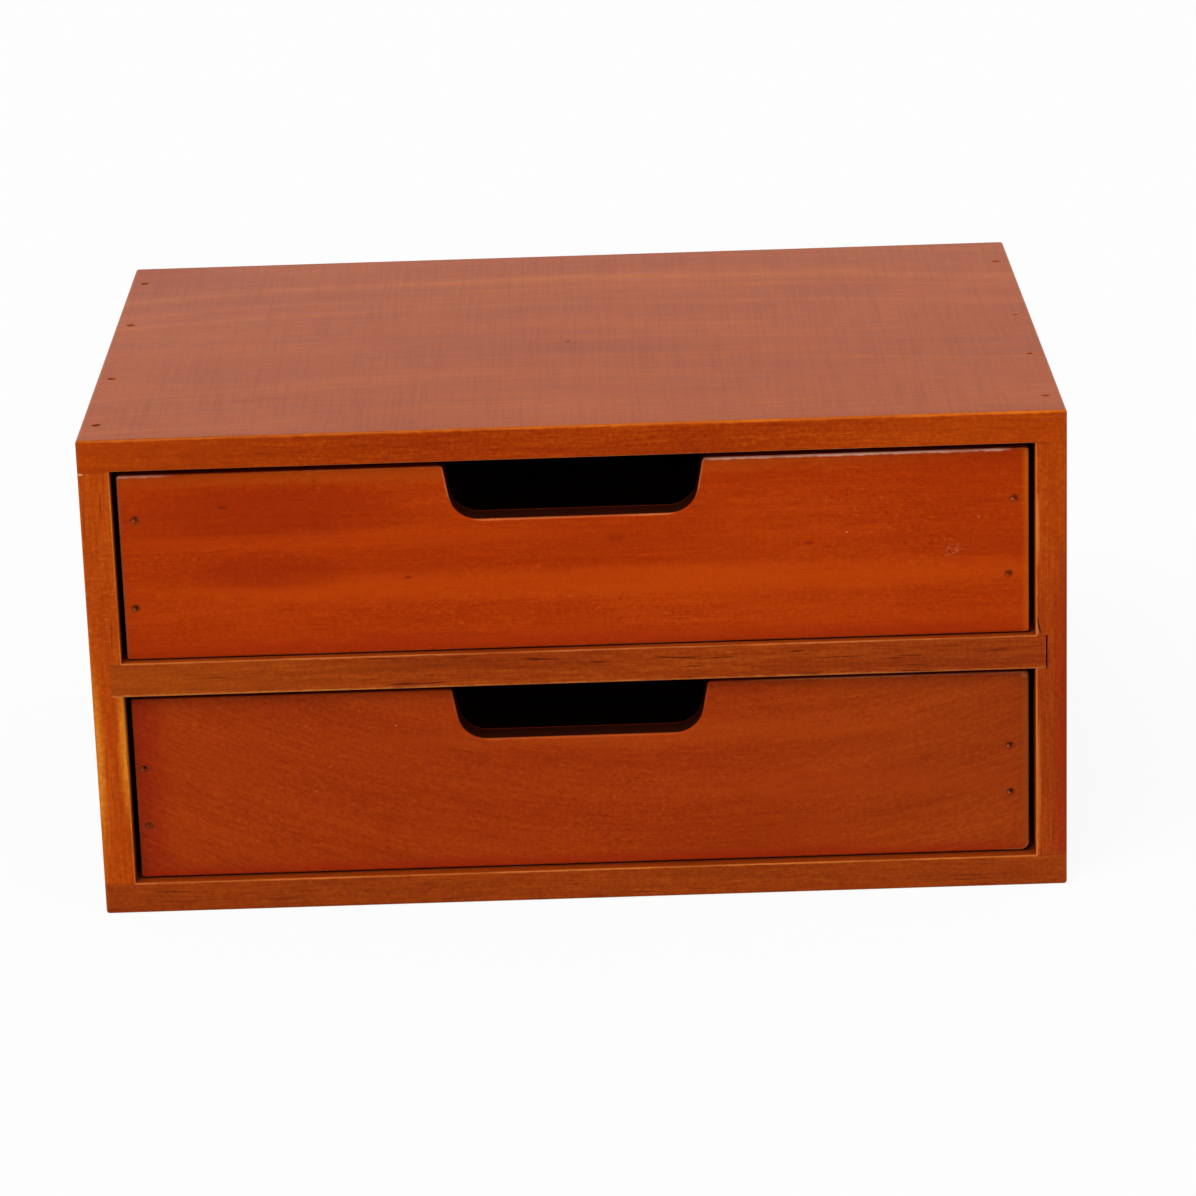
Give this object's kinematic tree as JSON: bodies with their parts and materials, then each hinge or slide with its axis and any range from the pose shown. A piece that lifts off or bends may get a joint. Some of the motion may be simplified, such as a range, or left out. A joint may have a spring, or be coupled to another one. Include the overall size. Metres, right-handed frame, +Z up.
{
  "type": "desk drawer organizer",
  "caption": "Small wooden desktop box with stacked inset drawers that slide straight out, each pulled by a rounded finger notch cut in the top edge of its front.",
  "frame": {"origin": "on the surface that the box stands on, under the middle of its width and depth", "axes": "+X to the right seen from the drawer side, +Y from the drawer fronts to the back, +Z up"},
  "size_m": [0.25, 0.18, 0.128],
  "materials": {
    "case_wood": "stained, satin varnish",
    "drawer_front_wood": "stained, satin varnish",
    "drawer_box_wood": "stained, dry",
    "plywood": "stained, dry",
    "brad_steel": "dull"
  },
  "bodies": {
    "case": {"top_board": "case_wood", "bottom_board": "case_wood", "left_side": "case_wood", "right_side": "case_wood", "shelf": "case_wood", "back_panel": "plywood", "top_brads": "brad_steel", "bottom_brads": "brad_steel", "shelf_brads": "brad_steel", "back_panel_brads": "brad_steel"},
    "upper_drawer": {"upper_drawer_front": "drawer_front_wood", "upper_drawer_left_side": "drawer_box_wood", "upper_drawer_right_side": "drawer_box_wood", "upper_drawer_back": "drawer_box_wood", "upper_drawer_bottom": "plywood", "upper_drawer_front_brads": "brad_steel", "upper_drawer_back_brads": "brad_steel", "upper_drawer_bottom_brads": "brad_steel"},
    "lower_drawer": {"lower_drawer_front": "drawer_front_wood", "lower_drawer_left_side": "drawer_box_wood", "lower_drawer_right_side": "drawer_box_wood", "lower_drawer_back": "drawer_box_wood", "lower_drawer_bottom": "plywood", "lower_drawer_front_brads": "brad_steel", "lower_drawer_back_brads": "brad_steel", "lower_drawer_bottom_brads": "brad_steel"}
  },
  "joints": [
    {"name": "upper_drawer_slide", "type": "slide", "parent": "case", "child": "upper_drawer", "axis": [0, -1, 0], "range_m": [0, 0.14]},
    {"name": "lower_drawer_slide", "type": "slide", "parent": "case", "child": "lower_drawer", "axis": [0, -1, 0], "range_m": [0, 0.14]}
  ]
}
